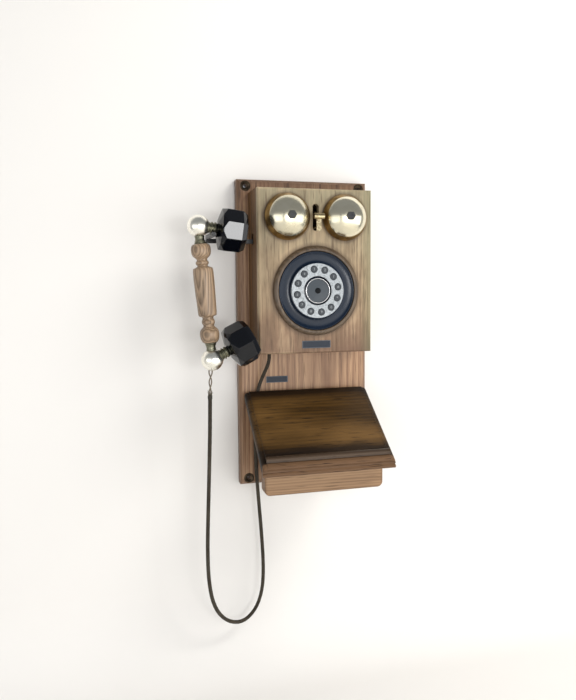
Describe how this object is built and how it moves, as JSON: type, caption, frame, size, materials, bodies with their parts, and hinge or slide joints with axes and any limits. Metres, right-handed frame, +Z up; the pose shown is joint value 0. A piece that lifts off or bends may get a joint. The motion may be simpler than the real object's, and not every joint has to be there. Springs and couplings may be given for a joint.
{
  "type": "wall telephone",
  "caption": "Wooden wall telephone with two gongs, a push-key dial, a turned handset on a hook, a sloping writing shelf and a hanging cord.",
  "frame": {"origin": "middle of the back board's rear face, on the wall", "axes": "+X right, +Y into the wall, +Z up; the front faces -Y"},
  "size_m": [0.2817, 0.1444, 0.654],
  "materials": {
    "board_wood": "worn oiled wood",
    "case_wood": "worn oiled wood",
    "panel_wood": "weathered oak",
    "shelf_wood": "dark varnish",
    "apron_wood": "oiled light wood",
    "handle_wood": "turned and waxed",
    "bell_brass": "polished",
    "ball_brass": "polished",
    "aged_brass": "tarnished",
    "black_gloss": "moulded, glossy",
    "plate_steel": "speckled",
    "chrome_ring": "bright",
    "grey_disc": "matte",
    "key_plastic": "satin, light digit",
    "black_metal": "black",
    "steel": "zinc plated",
    "coil_winding": "wound wire",
    "rubber": "matte",
    "circuit_board": "laminate",
    "black_plastic": "matte",
    "slate_plate": "blank, dark slate",
    "cord_fabric": "braided textile",
    "lead_plastic": "thin insulated wire"
  },
  "bodies": {
    "case": {"back_board": "board_wood", "box_left_side": "case_wood", "box_right_side": "case_wood", "box_top": "case_wood", "box_bottom": "case_wood", "case_cleats": "case_wood", "dial_surround": "case_wood", "shelf_brackets": "case_wood", "front_panel": "panel_wood", "shelf_top": "shelf_wood", "pencil_stop": "shelf_wood", "shelf_apron": "apron_wood", "bell_left": "bell_brass", "bell_right": "bell_brass", "screw_cups": "bell_brass", "dial_bezel": "black_gloss", "number_plate": "plate_steel", "dial_centre_ring": "chrome_ring", "dial_centre_disc": "grey_disc", "bell_nuts": "black_metal", "dial_centre_screw": "black_metal", "bell_posts": "steel", "ringer_frame": "steel", "hook_bracket": "steel", "hook_spring": "steel", "dial_clamp": "steel", "ringer_coils": "coil_winding", "key_pad": "rubber", "cord_gland": "rubber", "key_circuit_board": "circuit_board", "hook_switch": "black_plastic", "name_plate": "slate_plate", "board_plate": "slate_plate", "handset_cord": "cord_fabric"},
    "clapper": {"clapper_arm": "bell_brass", "clapper_hammer": "bell_brass", "ringer_armature": "steel"},
    "hook": {"hook_lever": "black_metal"},
    "handset": {"handset_handle": "handle_wood", "handset_ferrules": "aged_brass", "handset_balls": "ball_brass", "handset_necks": "aged_brass", "receiver_shell": "black_gloss", "receiver_cap": "black_gloss", "transmitter_shell": "black_gloss", "transmitter_cap": "black_gloss", "handset_capsules": "black_plastic", "cord_leads": "lead_plastic"},
    "key_1": {"key_1": "key_plastic"},
    "key_2": {"key_2": "key_plastic"},
    "key_3": {"key_3": "key_plastic"},
    "key_4": {"key_4": "key_plastic"},
    "key_5": {"key_5": "key_plastic"},
    "key_6": {"key_6": "key_plastic"},
    "key_7": {"key_7": "key_plastic"},
    "key_8": {"key_8": "key_plastic"},
    "key_9": {"key_9": "key_plastic"},
    "key_10": {"key_10": "key_plastic"},
    "key_11": {"key_11": "key_plastic"},
    "key_12": {"key_12": "key_plastic"}
  },
  "joints": [
    {"name": "handset_lift", "type": "slide", "parent": "case", "child": "handset", "axis": [0, -0.6, 0.8], "range_m": [0, 0.08]},
    {"name": "hook_swing", "type": "hinge", "parent": "case", "child": "hook", "pos_m": [-0.04, -0.045, 0.134], "axis": [0, 1, 0], "range_deg": [0, 6.2], "deforming": ["hook_spring"]},
    {"name": "clapper_swing", "type": "hinge", "parent": "case", "child": "clapper", "pos_m": [0, -0.045, 0.115], "axis": [0, 1, 0], "range_deg": [-2.5, 2.5], "stiffness_Nm_per_rad": 0.05},
    {"name": "key_1_press", "type": "slide", "parent": "case", "child": "key_1", "axis": [0, 1, 0], "range_m": [0, 0.002], "stiffness_N_per_m": 250},
    {"name": "key_2_press", "type": "slide", "parent": "case", "child": "key_2", "axis": [0, 1, 0], "range_m": [0, 0.002], "stiffness_N_per_m": 250},
    {"name": "key_3_press", "type": "slide", "parent": "case", "child": "key_3", "axis": [0, 1, 0], "range_m": [0, 0.002], "stiffness_N_per_m": 250},
    {"name": "key_4_press", "type": "slide", "parent": "case", "child": "key_4", "axis": [0, 1, 0], "range_m": [0, 0.002], "stiffness_N_per_m": 250},
    {"name": "key_5_press", "type": "slide", "parent": "case", "child": "key_5", "axis": [0, 1, 0], "range_m": [0, 0.002], "stiffness_N_per_m": 250},
    {"name": "key_6_press", "type": "slide", "parent": "case", "child": "key_6", "axis": [0, 1, 0], "range_m": [0, 0.002], "stiffness_N_per_m": 250},
    {"name": "key_7_press", "type": "slide", "parent": "case", "child": "key_7", "axis": [0, 1, 0], "range_m": [0, 0.002], "stiffness_N_per_m": 250},
    {"name": "key_8_press", "type": "slide", "parent": "case", "child": "key_8", "axis": [0, 1, 0], "range_m": [0, 0.002], "stiffness_N_per_m": 250},
    {"name": "key_9_press", "type": "slide", "parent": "case", "child": "key_9", "axis": [0, 1, 0], "range_m": [0, 0.002], "stiffness_N_per_m": 250},
    {"name": "key_10_press", "type": "slide", "parent": "case", "child": "key_10", "axis": [0, 1, 0], "range_m": [0, 0.002], "stiffness_N_per_m": 250},
    {"name": "key_11_press", "type": "slide", "parent": "case", "child": "key_11", "axis": [0, 1, 0], "range_m": [0, 0.002], "stiffness_N_per_m": 250},
    {"name": "key_12_press", "type": "slide", "parent": "case", "child": "key_12", "axis": [0, 1, 0], "range_m": [0, 0.002], "stiffness_N_per_m": 250}
  ],
  "couplings": [
    {"joint": "hook_swing", "follows": "handset_lift", "rad_per_m": 1.309}
  ]
}
